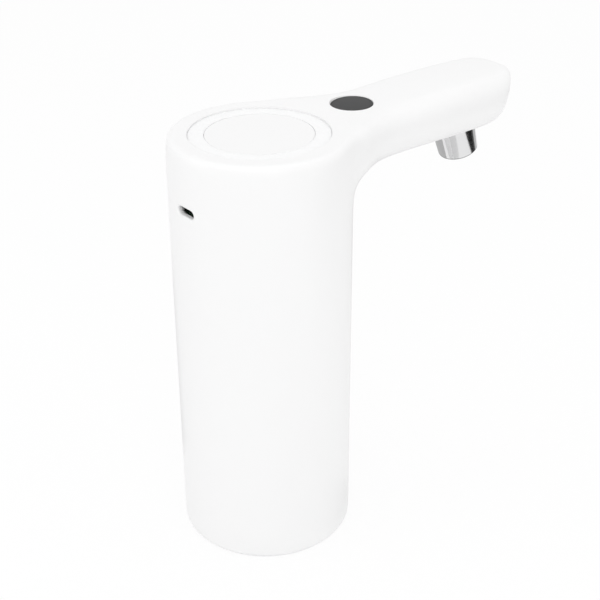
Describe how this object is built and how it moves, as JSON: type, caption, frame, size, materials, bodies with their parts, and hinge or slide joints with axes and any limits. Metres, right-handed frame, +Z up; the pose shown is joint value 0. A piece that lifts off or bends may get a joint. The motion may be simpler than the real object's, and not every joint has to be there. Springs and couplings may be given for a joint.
{
  "type": "bottled water pump",
  "caption": "Cordless pump that stands on a large water bottle's neck, with a push button in its top deck and a steel nozzle under its side arm.",
  "frame": {"origin": "centre of the base rim, on the axis of the bottle's neck", "axes": "+Z up along the bottle neck's axis, +X towards the nozzle along the arm, +Y to the arm's left"},
  "size_m": [0.1388, 0.06, 0.1489],
  "materials": {
    "white_shell": "smooth semi-gloss white",
    "cover_plastic": "smooth semi-gloss white",
    "ring_plastic": "milky, satin",
    "button_plastic": "smooth semi-gloss white",
    "display_lens": "dark smoked, glossy",
    "nozzle_steel": "polished",
    "socket_steel": "plain sheet",
    "black_plastic": "moulded",
    "frame_plastic": "moulded",
    "white_plastic": "moulded",
    "spring_steel": "drawn wire",
    "circuit_board": "solder mask",
    "cell_sleeve": "shrink film",
    "motor_steel": "plated",
    "magnet": "sintered",
    "bronze": "sintered",
    "gear_plastic": "moulded, natural",
    "pump_plastic": "moulded",
    "silicone_clear": "milky, matte",
    "rubber_black": "matte",
    "wire_red": "insulated",
    "wire_black": "insulated"
  },
  "bodies": {
    "pump": {"housing": "white_shell", "arm_cover": "cover_plastic", "light_ring": "ring_plastic", "button_spring": "spring_steel", "deck_frame": "frame_plastic", "button_board": "circuit_board", "push_switch": "black_plastic", "display_window": "display_lens", "display_module": "black_plastic", "display_board": "circuit_board", "main_board": "circuit_board", "controller_chip": "black_plastic", "capacitor": "black_plastic", "lead_connector": "gear_plastic", "charge_socket": "socket_steel", "socket_tongue": "black_plastic", "battery_cell": "cell_sleeve", "inner_frame": "white_plastic", "motor_can": "motor_steel", "front_bushing": "bronze", "magnet_left": "magnet", "magnet_right": "magnet", "motor_end_cap": "white_plastic", "motor_lead_red": "wire_red", "motor_lead_black": "wire_black", "cell_lead_red": "wire_red", "cell_lead_black": "wire_black", "idler_pin": "socket_steel", "pump_cover": "pump_plastic", "pump_body": "pump_plastic", "shaft_seal": "rubber_black", "base_plate": "white_plastic", "neck_seal": "silicone_clear", "inlet_barb": "white_plastic", "outlet_tube": "silicone_clear", "spout_elbow": "white_plastic", "spout_nozzle": "nozzle_steel", "flow_insert": "white_plastic", "nozzle_gasket": "rubber_black"},
    "button": {"power_button": "button_plastic"},
    "rotor": {"motor_rotor": "motor_steel", "drive_gear": "gear_plastic"},
    "idler": {"idler_gear": "gear_plastic"}
  },
  "joints": [
    {"name": "button_press", "type": "slide", "parent": "pump", "child": "button", "axis": [0, 0, -1], "range_m": [0, 0.0008], "stiffness_N_per_m": 600, "springref_m": -0.001, "deforming": ["button_spring"]},
    {"name": "rotor_spin", "type": "hinge", "parent": "pump", "child": "rotor", "pos_m": [0.0121, 0, 0.0389], "axis": [0, 0, 1], "continuous": true},
    {"name": "idler_spin", "type": "hinge", "parent": "pump", "child": "idler", "pos_m": [0.0021, 0, 0.0389], "axis": [0, 0, 1], "continuous": true}
  ],
  "couplings": [
    {"joint": "idler_spin", "follows": "rotor_spin", "ratio": -1}
  ]
}
